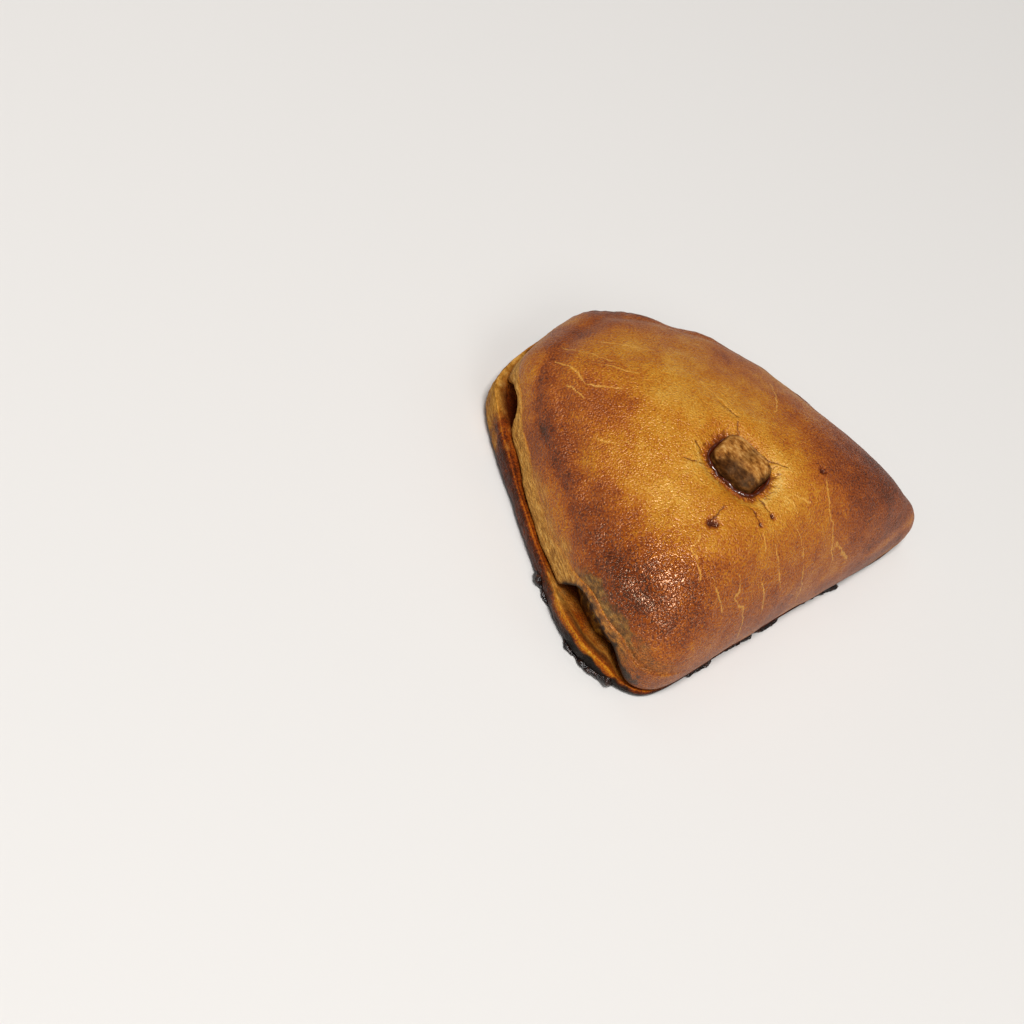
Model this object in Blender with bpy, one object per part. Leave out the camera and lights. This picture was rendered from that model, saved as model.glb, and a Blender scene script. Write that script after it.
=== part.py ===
"""A baked meat turnover, lying flat: one folded sheet of pastry, its filling and the cube of meat set in its top.

The fold runs along the front (-Y) and the sealed edge goes round the left, the back and the right.
Lengths are named in millimetres and turned into metres as the points are placed.
"""

import math

import bmesh
import bpy
from mathutils import Matrix, Vector

MM = 0.001

# The plan: flat sides round the middle, each by the angle it faces and its distance, with rounded corners between
SIDES = ((-91.7, 46.0), (10.7, 66.4), (45.6, 66.9), (98.3, 69.4), (154.2, 52.5), (200.3, 69.4))
SHARPNESS = 13.2
INNER_SHARPNESS = 4.6
MIDDLE = Vector((-5.36, -11.52))

# The top: a dome whose crest lies beside the middle
HEIGHT = 45.4
CREST = Vector((-1.0, -5.0))
DOME_RISE = 2.3
DOME_ROUND = 0.57

# The edge at stations round the middle: angle, height of the top layer's lip and its inset from the outline,
# height of the bottom layer's ridge, inset of the base, and how much of the edge is a seam
STATIONS = (
    (-91.0, 13.0, 0.0, 5.0, 5.0, 0.0),
    (-50.0, 11.2, 0.0, 4.0, 5.0, 0.0),
    (-34.0, 9.0, 0.0, 3.5, 4.0, 0.3),
    (-8.0, 11.9, 1.0, 4.0, 3.0, 1.0),
    (20.0, 14.1, 1.5, 5.5, 3.0, 1.0),
    (45.0, 17.2, 2.0, 7.0, 3.0, 1.0),
    (80.0, 17.5, 2.0, 9.0, 3.0, 1.0),
    (102.0, 20.5, 3.5, 10.5, 3.0, 1.0),
    (116.0, 19.5, 5.5, 11.5, 3.0, 1.0),
    (128.0, 16.5, 4.0, 9.5, 3.0, 1.0),
    (146.0, 15.0, 2.6, 7.4, 3.0, 1.0),
    (165.0, 14.5, 2.2, 7.0, 3.0, 1.0),
    (180.0, 17.0, 3.0, 7.5, 3.0, 1.0),
    (192.0, 20.0, 4.4, 7.8, 3.0, 1.0),
    (203.0, 18.0, 4.4, 7.6, 3.0, 1.0),
    (213.0, 14.5, 1.2, 6.0, 4.4, 0.35),
    (228.0, 12.8, 0.0, 5.0, 5.0, 0.0),
)
LIP, LIP_INSET, RIDGE, BASE_INSET, SEAM = range(1, 6)

# A seam's side, from the lip down. The top layer's cut edge: inset beyond the lip's, and share of the way down to the
# ridge. Then the bottom layer: inset from the outline, and share of the ridge's height
CUT_EDGE = ((-0.3, 0.2), (-0.5, 0.5), (-0.7, 0.8))
GROOVE_INSET = 1.5
GROOVE_STEP = 0.9
BOTTOM_LAYER = ((0.9, 1.0), (0.0, 0.76), (0.4, 0.36), (1.6, 0.07))

# The folded side, from the lip down: inset from the outline, and share of the lip's height
FOLD_SIDE = (
    (0.0, 0.88),
    (0.1, 0.75),
    (0.3, 0.62),
    (0.6, 0.50),
    (1.1, 0.37),
    (1.8, 0.25),
    (2.8, 0.13),
    (3.9, 0.04),
)

# Relief of the top: a crease inside the lip, soft pleats along the seam, and low swellings and hollows
CREASE_INSET = 7.0
CREASE_WIDTH = 2.0
CREASE_DEPTH = 1.0
PLEATS = 19
PLEAT_DEPTH = 0.35
SWELLINGS = (
    (-47.0, -24.0, 13.0, 1.5),
    (-57.0, -7.0, 6.0, -1.2),
    (-30.0, 38.0, 16.0, 0.9),
    (22.0, 40.0, 18.0, -0.8),
    (48.0, -14.0, 15.0, 0.7),
    (-1.8, -7.8, 13.0, -2.3),
)

# The hollow inside the pastry, and the gap that keeps its pieces apart
TOP_THICKNESS = 7.0
FLOOR_THICKNESS = 5.0
FOLD_THICKNESS = 7.0
SEAM_THICKNESS = 11.0
GAP = 0.35

# The cube of meat and the hole that holds it
CUBE_AT = Vector((-1.1, -7.7))
CUBE_SIZE = Vector((14.4, 17.2))
CUBE_TURN = 7.5
CUBE_TOP = 47.0
CUBE_BEVEL = 2.2
HOLE_SIZE = Vector((18.4, 20.4))
HOLE_SHIFT = Vector((-0.9, -0.2))
HOLE_BEVEL = 4.5

# The slit in the seam beside the front left corner: its angle round the middle, its middle's height and its size
SLIT_ANGLE = 195.5
SLIT_HEIGHT = 11.4
SLIT_INSET = 4.5
SLIT_HALF_LENGTH = 18.5
SLIT_HALF_HEIGHT = 5.2
SLIT_HALF_DEPTH = 13.0
SLIT_SLOPE = 9.0

# The pocket where the two layers part at the back left
POCKET_ANGLE = 115.5
POCKET_HEIGHT = 15.4
POCKET_INSET = 3.6
POCKET_HALF_LENGTH = 11.0
POCKET_HALF_HEIGHT = 4.6
POCKET_HALF_DEPTH = 6.6
POCKET_DIP = 16.0

# Fineness
SEGMENTS = 96
TOP_RINGS = 20
BASE_RINGS = 2
INNER_SEGMENTS = 44
INNER_TOP_RINGS = 12


def collection_named(name, hidden=False):
    """A new collection in the scene."""
    made = bpy.data.collections.new(name)
    bpy.context.scene.collection.children.link(made)
    made.hide_render = hidden
    return made


def material_named(name, colour, roughness):
    """A Principled material with one colour."""
    made = bpy.data.materials.new(name)
    made.use_nodes = True
    shader = made.node_tree.nodes["Principled BSDF"]
    shader.inputs["Base Color"].default_value = (*colour, 1.0)
    shader.inputs["Roughness"].default_value = roughness
    shader.inputs["Metallic"].default_value = 0.0
    return made


def eased(share):
    """0 to 1 with a level start and end."""
    share = min(1.0, max(0.0, share))
    return share * share * (3.0 - 2.0 * share)


def bell(distance, width):
    """1 at no distance, falling away over this width."""
    return math.exp(-((distance / width) ** 2))


def outline(angle, sharpness=SHARPNESS):
    """Distance from the middle to the edge of the plan, towards this angle."""
    total = 0.0
    for side, distance in SIDES:
        toward = math.cos(angle - math.radians(side))
        if toward > 0.0:
            total += (toward / distance) ** sharpness
    return total ** (-1.0 / sharpness)


def station(angle, column):
    """One column of STATIONS at this angle, eased from each station to the next."""
    first = STATIONS[0]
    degrees = (math.degrees(angle) - first[0]) % 360.0 + first[0]
    closing = (first[0] + 360.0, *first[1:])
    for here, after in zip(STATIONS, (*STATIONS[1:], closing)):
        if degrees <= after[0]:
            share = eased((degrees - here[0]) / (after[0] - here[0]))
            return here[column] + share * (after[column] - here[column])
    return first[column]


def top_height(share, angle, lip, crest):
    """Height of the dome at this share of the way from its crest to the lip."""
    return lip + (crest - lip) * (1.0 - min(1.0, share) ** DOME_RISE) ** DOME_ROUND


def relief(x, y, share, angle):
    """Rise of the top above the plain dome, none at the lip."""
    inset = outline(angle) * (1.0 - share)
    seam = station(angle, SEAM)
    rise = -CREASE_DEPTH * seam * bell(inset - CREASE_INSET, CREASE_WIDTH)
    rise += PLEAT_DEPTH * seam * math.sin(PLEATS * angle) * bell(inset - 3.0, 5.0)
    for at_x, at_y, width, height in SWELLINGS:
        rise += height * bell(math.hypot(x - at_x, y - at_y), width)
    return rise * eased(inset / 2.5)


def placed(angle, distance, drift, height):
    """A point by its angle and distance from the middle, with the crest's drift added."""
    x = MIDDLE.x + drift * CREST.x + distance * math.cos(angle)
    y = MIDDLE.y + drift * CREST.y + distance * math.sin(angle)
    return Vector((x, y, height)) * MM


def dome_point(share, angle):
    """A point of the top surface at this share of the way from its crest to the lip."""
    rounded = outline(angle, INNER_SHARPNESS)
    rounding = share**3
    edge = rounded + rounding * (outline(angle) - rounded) - station(angle, LIP_INSET)
    drift = 1.0 - share * share
    x = drift * CREST.x + edge * share * math.cos(angle)
    y = drift * CREST.y + edge * share * math.sin(angle)
    height = top_height(share, angle, station(angle, LIP), HEIGHT) + relief(x, y, share, angle)
    return placed(angle, edge * share, drift, height)


def seam_side(row, angle):
    """Inset and height of one row of a seam's side, counted from the lip down."""
    lip = station(angle, LIP)
    lip_inset = station(angle, LIP_INSET)
    ridge = station(angle, RIDGE)
    if row < len(CUT_EDGE):
        inset, share = CUT_EDGE[row]
        return lip_inset + inset, lip + share * (ridge - lip)
    row -= len(CUT_EDGE)
    if row == 0:
        return max(GROOVE_INSET, lip_inset - GROOVE_STEP), ridge + 0.2
    inset, share = BOTTOM_LAYER[row - 1]
    return inset, share * ridge


def outer_point(ring, angle):
    """The pastry's outer surface: rings 1 to TOP_RINGS on the dome, then down the side, then across the base."""
    if ring <= TOP_RINGS:
        return dome_point(math.sin(0.5 * math.pi * ring / TOP_RINGS), angle)
    ring -= TOP_RINGS
    edge = outline(angle)
    if ring <= len(FOLD_SIDE):
        seam = station(angle, SEAM)
        seam_inset, seam_height = seam_side(ring - 1, angle)
        fold_inset, fold_share = FOLD_SIDE[ring - 1]
        fold_height = fold_share * station(angle, LIP)
        inset = fold_inset + seam * (seam_inset - fold_inset)
        height = fold_height + seam * (seam_height - fold_height)
        return placed(angle, edge - inset, 0.0, height)
    share = 1.0 - (ring - len(FOLD_SIDE) - 1) / (BASE_RINGS + 0.5)
    return placed(angle, (edge - station(angle, BASE_INSET)) * share, 0.0, 0.0)


def inner_point(ring, angle, clearance):
    """The hollow inside the pastry, or with a clearance the filling that lies in it."""
    seam = station(angle, SEAM)
    near_slit = bell(math.remainder(angle - math.radians(SLIT_ANGLE), math.tau), 0.35)
    thickness = FOLD_THICKNESS + seam * (SEAM_THICKNESS - FOLD_THICKNESS) - 4.5 * near_slit
    edge = outline(angle) - thickness - clearance
    floor = FLOOR_THICKNESS + clearance
    lip = max(floor + 1.5, station(angle, LIP) - 3.0 - clearance)
    if ring <= INNER_TOP_RINGS:
        share = math.sin(0.5 * math.pi * ring / INNER_TOP_RINGS)
        drift = 1.0 - share * share
        height = top_height(share, angle, lip, HEIGHT - TOP_THICKNESS - clearance)
        return placed(angle, edge * share, drift, height)
    ring -= INNER_TOP_RINGS
    if ring == 1:
        return placed(angle, edge - 0.5, 0.0, 0.5 * (lip + floor))
    return placed(angle, (edge - 3.0) * (1.0 if ring == 2 else 0.5), 0.0, floor)


def shaped_ball(name, segments, rings, place, top, bottom):
    """A sphere whose rings are moved to the points that place gives, and whose ends go to the top and the bottom."""
    mesh = bpy.data.meshes.new(name)
    form = bmesh.new()
    bmesh.ops.create_uvsphere(form, u_segments=segments, v_segments=rings + 1, radius=1.0)
    for vertex in form.verts:
        ring = round(math.acos(max(-1.0, min(1.0, vertex.co.z))) / math.pi * (rings + 1))
        if ring == 0:
            vertex.co = top
        elif ring == rings + 1:
            vertex.co = bottom
        else:
            vertex.co = place(ring, math.atan2(vertex.co.y, vertex.co.x))
    form.to_mesh(mesh)
    form.free()
    return bpy.data.objects.new(name, mesh)


def rounded_box(name, size, bevel, segments):
    """A box with its upright and level edges rounded, standing round its own middle."""
    mesh = bpy.data.meshes.new(name)
    form = bmesh.new()
    bmesh.ops.create_cube(form, size=1.0)
    bmesh.ops.scale(form, vec=Vector(size) * MM, verts=form.verts)
    bmesh.ops.bevel(form, geom=form.edges[:], offset=bevel * MM, segments=segments, profile=0.5, affect="EDGES")
    form.to_mesh(mesh)
    form.free()
    return bpy.data.objects.new(name, mesh)


def pointed_ball(name, half_length, half_height, half_depth):
    """A ball stretched along X with drawn-out ends, for cutting an opening with pointed corners."""
    mesh = bpy.data.meshes.new(name)
    form = bmesh.new()
    bmesh.ops.create_uvsphere(form, u_segments=16, v_segments=14, radius=1.0)
    for vertex in form.verts:
        along = vertex.co.z
        narrowing = math.sqrt(max(0.0, 1.0 - along * along)) ** 0.4
        x = along * half_length
        y = vertex.co.x * narrowing * half_depth
        z = vertex.co.y * narrowing * half_height
        vertex.co = Vector((x, y, z)) * MM
    form.to_mesh(mesh)
    form.free()
    return bpy.data.objects.new(name, mesh)


def cut(body, cutter):
    """Takes the cutter's shape out of the body."""
    modifier = body.modifiers.new("cut by " + cutter.name, "BOOLEAN")
    modifier.operation = "DIFFERENCE"
    modifier.solver = "EXACT"
    modifier.object = cutter


def edge_frame(angle_degrees, inset, height):
    """Placement on the edge of the plan: X along the edge, Y inwards, Z up."""
    angle = math.radians(angle_degrees)
    step = math.radians(1.0)
    ahead = placed(angle + step, outline(angle + step) - inset, 0.0, height)
    behind = placed(angle - step, outline(angle - step) - inset, 0.0, height)
    along = (ahead - behind).normalized()
    upward = Vector((0.0, 0.0, 1.0))
    turned = Matrix((along, upward.cross(along), upward)).transposed().to_4x4()
    return Matrix.Translation(placed(angle, outline(angle) - inset, 0.0, height)) @ turned


for old in list(bpy.data.objects):
    bpy.data.objects.remove(old, do_unlink=True)

turnover = collection_named("meat_turnover")
cutters = collection_named("cutters", hidden=True)

crust = material_named("browned crust", (0.42, 0.17, 0.035), 0.38)
cooked_filling = material_named("cooked filling", (0.30, 0.12, 0.03), 0.5)
roast_meat = material_named("roast meat", (0.20, 0.085, 0.03), 0.4)

crest_at = MIDDLE + CREST

# The pastry
pastry_case = shaped_ball(
    "pastry_case",
    SEGMENTS,
    TOP_RINGS + len(FOLD_SIDE) + BASE_RINGS,
    outer_point,
    Vector((crest_at.x, crest_at.y, HEIGHT)) * MM,
    Vector((MIDDLE.x, MIDDLE.y, 0.0)) * MM,
)
pastry_case.data.materials.append(crust)
turnover.objects.link(pastry_case)

# The hollow inside it
hollow = shaped_ball(
    "hollow",
    INNER_SEGMENTS,
    INNER_TOP_RINGS + 3,
    lambda ring, angle: inner_point(ring, angle, 0.0),
    Vector((crest_at.x, crest_at.y, HEIGHT - TOP_THICKNESS)) * MM,
    Vector((MIDDLE.x, MIDDLE.y, FLOOR_THICKNESS)) * MM,
)
cutters.objects.link(hollow)

# The filling, which lies in the hollow
meat_filling = shaped_ball(
    "meat_filling",
    INNER_SEGMENTS,
    INNER_TOP_RINGS + 3,
    lambda ring, angle: inner_point(ring, angle, GAP),
    Vector((crest_at.x, crest_at.y, HEIGHT - TOP_THICKNESS - GAP)) * MM,
    Vector((MIDDLE.x, MIDDLE.y, FLOOR_THICKNESS + GAP)) * MM,
)
meat_filling.data.materials.append(cooked_filling)
turnover.objects.link(meat_filling)

# The cube of meat, and its hole through the top layer
cube_foot = HEIGHT - TOP_THICKNESS
cube_height = CUBE_TOP - cube_foot
meat_cube = rounded_box("meat_cube", (*CUBE_SIZE, cube_height), CUBE_BEVEL, 3)
meat_cube.location = Vector((CUBE_AT.x + MIDDLE.x, CUBE_AT.y + MIDDLE.y, cube_foot + 0.5 * cube_height)) * MM
meat_cube.rotation_euler.z = math.radians(CUBE_TURN)
meat_cube.data.materials.append(roast_meat)
turnover.objects.link(meat_cube)

hole_height = 2.0 * TOP_THICKNESS + 6.0
cube_hole = rounded_box("cube_hole", (*HOLE_SIZE, hole_height), HOLE_BEVEL, 3)
cube_hole.location = meat_cube.location + Vector((HOLE_SHIFT.x, HOLE_SHIFT.y, 0.0)) * MM
cube_hole.rotation_euler.z = math.radians(CUBE_TURN)
cutters.objects.link(cube_hole)

# The slit through the seam
slit = pointed_ball("slit", SLIT_HALF_LENGTH, SLIT_HALF_HEIGHT, SLIT_HALF_DEPTH)
slit.matrix_world = edge_frame(SLIT_ANGLE, SLIT_INSET, SLIT_HEIGHT) @ Matrix.Rotation(
    math.radians(SLIT_SLOPE), 4, "Y"
)
cutters.objects.link(slit)

# The pocket between the two layers
pocket = pointed_ball("pocket", POCKET_HALF_LENGTH, POCKET_HALF_HEIGHT, POCKET_HALF_DEPTH)
pocket.matrix_world = edge_frame(POCKET_ANGLE, POCKET_INSET, POCKET_HEIGHT) @ Matrix.Rotation(
    math.radians(-POCKET_DIP), 4, "X"
)
cutters.objects.link(pocket)

for cutter in (hollow, cube_hole, slit, pocket):
    cutter.hide_render = True
    cutter.display_type = "WIRE"
    cut(pastry_case, cutter)

for piece in (pastry_case, meat_filling, meat_cube):
    piece.data.shade_smooth()
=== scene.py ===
import bpy
import numpy as np
from mathutils import Matrix, Vector


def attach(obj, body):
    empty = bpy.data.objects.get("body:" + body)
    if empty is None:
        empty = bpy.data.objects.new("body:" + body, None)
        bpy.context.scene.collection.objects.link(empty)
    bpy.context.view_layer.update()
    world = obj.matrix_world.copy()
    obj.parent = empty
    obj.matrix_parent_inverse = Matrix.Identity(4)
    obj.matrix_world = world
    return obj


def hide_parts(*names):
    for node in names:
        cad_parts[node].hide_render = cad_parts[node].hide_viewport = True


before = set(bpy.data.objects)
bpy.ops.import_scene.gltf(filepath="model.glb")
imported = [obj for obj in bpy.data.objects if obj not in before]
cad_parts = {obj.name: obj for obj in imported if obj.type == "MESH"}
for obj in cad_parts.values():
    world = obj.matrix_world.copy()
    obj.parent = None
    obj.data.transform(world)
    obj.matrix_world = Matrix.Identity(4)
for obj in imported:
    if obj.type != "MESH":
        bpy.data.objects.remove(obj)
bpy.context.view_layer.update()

# The top layer of pastry: one half of a rolled sheet, folded over the filling, brushed with egg and baked.
# It domes over the filling and dips round the cube of meat. Its cut edge stayed pale, as the egg missed it.
# Along the front it carries on round the fold, down to the tray.

# the plan's flat sides, each by the direction it faces, in degrees, and its distance from the middle, in mm
SIDES = np.array([(-91.7, 46.0), (10.7, 66.4), (45.6, 66.9), (98.3, 69.4), (154.2, 52.5), (200.3, 69.4)])
MIDDLE = np.array([-5.36, -11.52])
# the crest's place from the middle and its height; the plan's sharpness near it; the two powers of its fall
CREST = np.array([-1.0, -5.0])
HEIGHT = 45.4
ROUNDER = 4.6
FALL, FULLNESS = 2.3, 0.57
# round the edge: degrees, the lip's height and inset, the ridge's height, the base's inset, and 1 at the seam
STATIONS = np.array(
    [
        (-91.0, 13.0, 0.0, 5.0, 5.0, 0.0),
        (-50.0, 11.2, 0.0, 4.0, 5.0, 0.0),
        (-34.0, 9.0, 0.0, 3.5, 4.0, 0.3),
        (-8.0, 11.9, 1.0, 4.0, 3.0, 1.0),
        (20.0, 14.1, 1.5, 5.5, 3.0, 1.0),
        (45.0, 17.2, 2.0, 7.0, 3.0, 1.0),
        (80.0, 17.5, 2.0, 9.0, 3.0, 1.0),
        (102.0, 20.5, 3.5, 10.5, 3.0, 1.0),
        (116.0, 19.5, 5.5, 11.5, 3.0, 1.0),
        (128.0, 16.5, 4.0, 9.5, 3.0, 1.0),
        (146.0, 15.0, 2.6, 7.4, 3.0, 1.0),
        (165.0, 14.5, 2.2, 7.0, 3.0, 1.0),
        (180.0, 17.0, 3.0, 7.5, 3.0, 1.0),
        (192.0, 20.0, 4.4, 7.8, 3.0, 1.0),
        (203.0, 18.0, 4.4, 7.6, 3.0, 1.0),
        (213.0, 14.5, 1.2, 6.0, 4.4, 0.35),
        (228.0, 12.8, 0.0, 5.0, 5.0, 0.0),
        (269.0, 13.0, 0.0, 5.0, 5.0, 0.0),
    ]
)
LIP, LIP_INSET, RIDGE, BASE_INSET, SEAM = range(1, 6)
# low swellings and dips of the dome: x and y from the middle, width and rise
SWELLINGS = (
    (-47, -24, 13, 1.5),
    (-57, -7, 6, -1.2),
    (-30, 38, 16, 0.9),
    (22, 40, 18, -0.8),
    (48, -14, 15, 0.7),
    (-1.8, -7.8, 13, -2.3),
)
# the slit's height by angle, and the pocket's
SLIT = (
    (180.5, 0.0),
    (183.0, 3.2),
    (186.0, 6.8),
    (189.5, 8.5),
    (194.0, 7.7),
    (201.0, 5.0),
    (207.0, 3.3),
    (211.5, 1.5),
    (214.0, 0.0),
)
POCKET = ((106.5, 0.0), (109.0, 2.4), (112.0, 4.6), (116.0, 5.0), (119.5, 4.0), (121.5, 1.6), (123.0, 0.0))
# the mesh's columns round the edge, and its rows from one row of the side to the next
COLUMNS = 600
SIDE_STEPS = 5


def eased(share):
    """0 to 1 with a level start and end: three times the share's square less twice its cube."""
    share = np.clip(share, 0, 1)
    return share * share * (3 - 2 * share)


def bell(distance, width):
    """1 at no distance, falling away over this width: e to minus the square of distance over width."""
    return np.exp(-((distance / width) ** 2))


def within(value, start, end, rising, falling):
    """1 from start to end, eased up from 0 over the one width and down again over the other."""
    return eased((value - start) / rising) * eased((end - value) / falling)


def spot(points, x, y, width):
    """A round spot in plan: the bell of each point's distance from this place."""
    return bell(np.hypot(points[..., 0] - x, points[..., 1] - y), width)


def outline(angle, sharpness=13.2):
    """Distance from the middle to the plan's edge.

    Each flat side's reciprocal distance this way is raised to a high power, and their sum's root turned over.
    """
    toward = np.maximum(np.cos(angle[..., None] - np.radians(SIDES[:, 0])), 0)
    return ((toward / SIDES[:, 1]) ** sharpness).sum(-1) ** (-1 / sharpness)


def station(angle, column):
    """One column of STATIONS at this angle, eased from each station to the next."""
    first = STATIONS[0, 0]
    degrees = (np.degrees(angle) - first) % 360 + first
    after = np.clip(np.searchsorted(STATIONS[:, 0], degrees), 1, len(STATIONS) - 1)
    low, high = STATIONS[after - 1], STATIONS[after]
    share = eased((degrees - low[..., 0]) / (high[..., 0] - low[..., 0]))
    return low[..., column] + share * (high[..., column] - low[..., column])


def parted(angle, table):
    """How far apart the two layers stand at this angle, in mm: straight from one entry to the next."""
    return np.interp(np.degrees(angle) % 360, *np.array(table).T)


def soft_noise(points, size, seed):
    """Smooth random heights from -1 to 1: a lattice of random numbers this size apart, eased in between.

    A lattice corner takes its number from a table, at its place times three large primes, mixed bit by bit.
    """
    entries = 4096
    table = np.random.default_rng(seed).uniform(-1, 1, entries)
    place = points / size
    cell = np.floor(place).astype(np.int64)
    share = place - cell
    share = share * share * (3 - 2 * share)
    total = 0
    for corner in ((x, y, z) for x in (0, 1) for y in (0, 1) for z in (0, 1)):
        at = (cell + corner) * (73856093, 19349663, 83492791)
        weight = np.where(corner, share, 1 - share).prod(-1)
        total = total + weight * table[(at[..., 0] ^ at[..., 1] ^ at[..., 2]) & (entries - 1)]
    return total


def soft_noises(points, *kinds):
    """Soft noises added up, each by its height, size and seed."""
    return sum(height * soft_noise(points, size, seed) for height, size, seed in kinds)


def run_through(points, steps):
    """A smooth path through the points along the first axis, in this many steps from each to the next.

    Each stretch is a cubic that meets its two ends, with slopes set by the points on either side of them.
    """
    padded = np.concatenate([2 * points[:1] - points[1:2], points, 2 * points[-1:] - points[-2:-1]])
    before, start, end, beyond = padded[:-3], padded[1:-2], padded[2:-1], padded[3:]
    share = (np.arange(steps) / steps).reshape(1, steps, *[1] * (points.ndim - 1))
    a, b, c, d = (part[:, None] for part in (before, start, end, beyond))
    bent = 2 * a - 5 * b + 4 * c - d + share * (3 * (b - c) + d - a)
    path = b + 0.5 * share * (c - a + share * bent)
    return np.concatenate([path.reshape(-1, *points.shape[1:]), points[-1:]])


def placed(angle, distance, drift, height):
    """Points by their angle and distance from the middle, with a share of the crest's drift added."""
    x = MIDDLE[0] + drift * CREST[0] + distance * np.cos(angle)
    y = MIDDLE[1] + drift * CREST[1] + distance * np.sin(angle)
    return np.stack(np.broadcast_arrays(x, y, height), -1)


def facings(grid):
    """Unit normals out of the food: the grid's step across times its step along, as a cross product."""
    along = np.roll(grid, -1, 1) - np.roll(grid, 1, 1)
    across = np.gradient(grid, axis=0)
    normal = np.cross(across, along)
    return normal / np.maximum(np.linalg.norm(normal, axis=-1, keepdims=True), 1e-9)


def nearest_line(points, lines):
    """Signed distance in plan to the nearest of these lines, and a strength: 1 on it, fading at its ends.

    On each stretch, the distance is the longer leg of the way to the line and along past its end.
    """
    side = np.full(points.shape[:-1], 99.0)
    strength = np.zeros(points.shape[:-1])
    for line in lines:
        ends = np.array(line, float)
        lengths = np.linalg.norm(np.diff(ends, axis=0), axis=1)
        before = 0
        for start, end, length in zip(ends[:-1], ends[1:], lengths):
            run = (end - start) / length
            gap = points[..., :2] - start
            along = gap @ run
            across = gap[..., 0] * run[1] - gap[..., 1] * run[0]
            beyond = np.maximum(np.maximum(-along, along - length), 0)
            distance = np.hypot(across, beyond)
            nearer = distance < np.abs(side)
            signed = np.where(across < 0, -distance, distance)
            share = np.clip((before + along) / lengths.sum(), 0, 1)
            fade = eased(0.3 + share / 0.2) * eased(0.3 + (1 - share) / 0.25) * bell(beyond, 0.5)
            side = np.where(nearer, signed, side)
            strength = np.where(nearer, fade * bell(distance, 2.0), strength)
            before += length
    return side, strength


def new_piece(name, points, faces):
    """A smooth-shaded piece of the food at the origin, from its points in mm and its faces."""
    mesh = bpy.data.meshes.new(name)
    mesh.from_pydata(points * 0.001, [], faces)
    mesh.shade_smooth()
    made = bpy.data.objects.new(name, mesh)
    bpy.context.scene.collection.objects.link(made)
    return made


def closed_sheet(name, grid, masks, top, bottom):
    """A closed piece: a grid that closes along its columns, a pole at either end, and masks on its points."""
    rows, columns = grid.shape[:2]
    index = np.arange(rows * columns).reshape(rows, columns)
    ahead = np.roll(index, -1, 1)
    quads = np.stack([index[:-1], index[1:], ahead[1:], ahead[:-1]], -1).reshape(-1, 4)
    first = np.stack([np.full(columns, rows * columns), index[0], ahead[0]], -1)
    last = np.stack([np.full(columns, rows * columns + 1), ahead[-1], index[-1]], -1)
    points = np.concatenate([grid.reshape(-1, 3), [top], [bottom]])
    made = new_piece(name, points, quads.tolist() + first.tolist() + last.tolist())
    for key, mask in masks.items():
        values = np.concatenate([mask.reshape(-1), mask[0, :1], mask[-1, :1]]).astype(np.float32)
        made.data.attributes.new(key, "FLOAT", "POINT").data.foreach_set("value", values)
    return made


# columns stand evenly along the edge, closer together at the slit and the pocket
turn = np.radians(np.arange(STATIONS[0, 0], STATIONS[-1, 0], 0.1))
edge_line = placed(turn, outline(turn), 0, 0)
crowding = 1 + (parted(turn, SLIT) > 0) + (parted(turn, POCKET) > 0)
step = np.linalg.norm(np.roll(edge_line, -1, 0) - edge_line, axis=1) * crowding
reach = np.concatenate([[0], np.cumsum(step)])
even = np.linspace(0, reach[-1], COLUMNS, endpoint=False)
angles = np.interp(even, reach, np.append(turn, turn[0] + 2 * np.pi))


def dome(share, angle):
    """The top surface at this share of the way from the crest to the lip, in mm.

    Its height is the lip's and a share of the rise: one less a power of the way, raised to another power.
    In plan it goes from a rounder outline to the full one. The pressed seam, waves near it and the swellings
    are added.
    """
    rounded = outline(angle, ROUNDER)
    full = outline(angle)
    edge = rounded + share**3 * (full - rounded) - station(angle, LIP_INSET)
    drift = 1 - share * share
    inset = full * (1 - share)
    seam = station(angle, SEAM)
    lip = station(angle, LIP)
    height = lip + (HEIGHT - lip) * (1 - np.minimum(share, 1) ** FALL) ** FULLNESS
    rise = -1.0 * seam * bell(inset - 7, 2)
    rise = rise + 0.35 * seam * np.sin(19 * angle) * bell(inset - 3, 5)
    flat = placed(angle, edge * share, drift, 0)
    for x, y, width, swell in SWELLINGS:
        away = np.hypot(flat[..., 0] - x - MIDDLE[0], flat[..., 1] - y - MIDDLE[1])
        rise = rise + swell * bell(away, width)
    return placed(angle, edge * share, drift, height + rise * eased(inset / 2.5))


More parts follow.
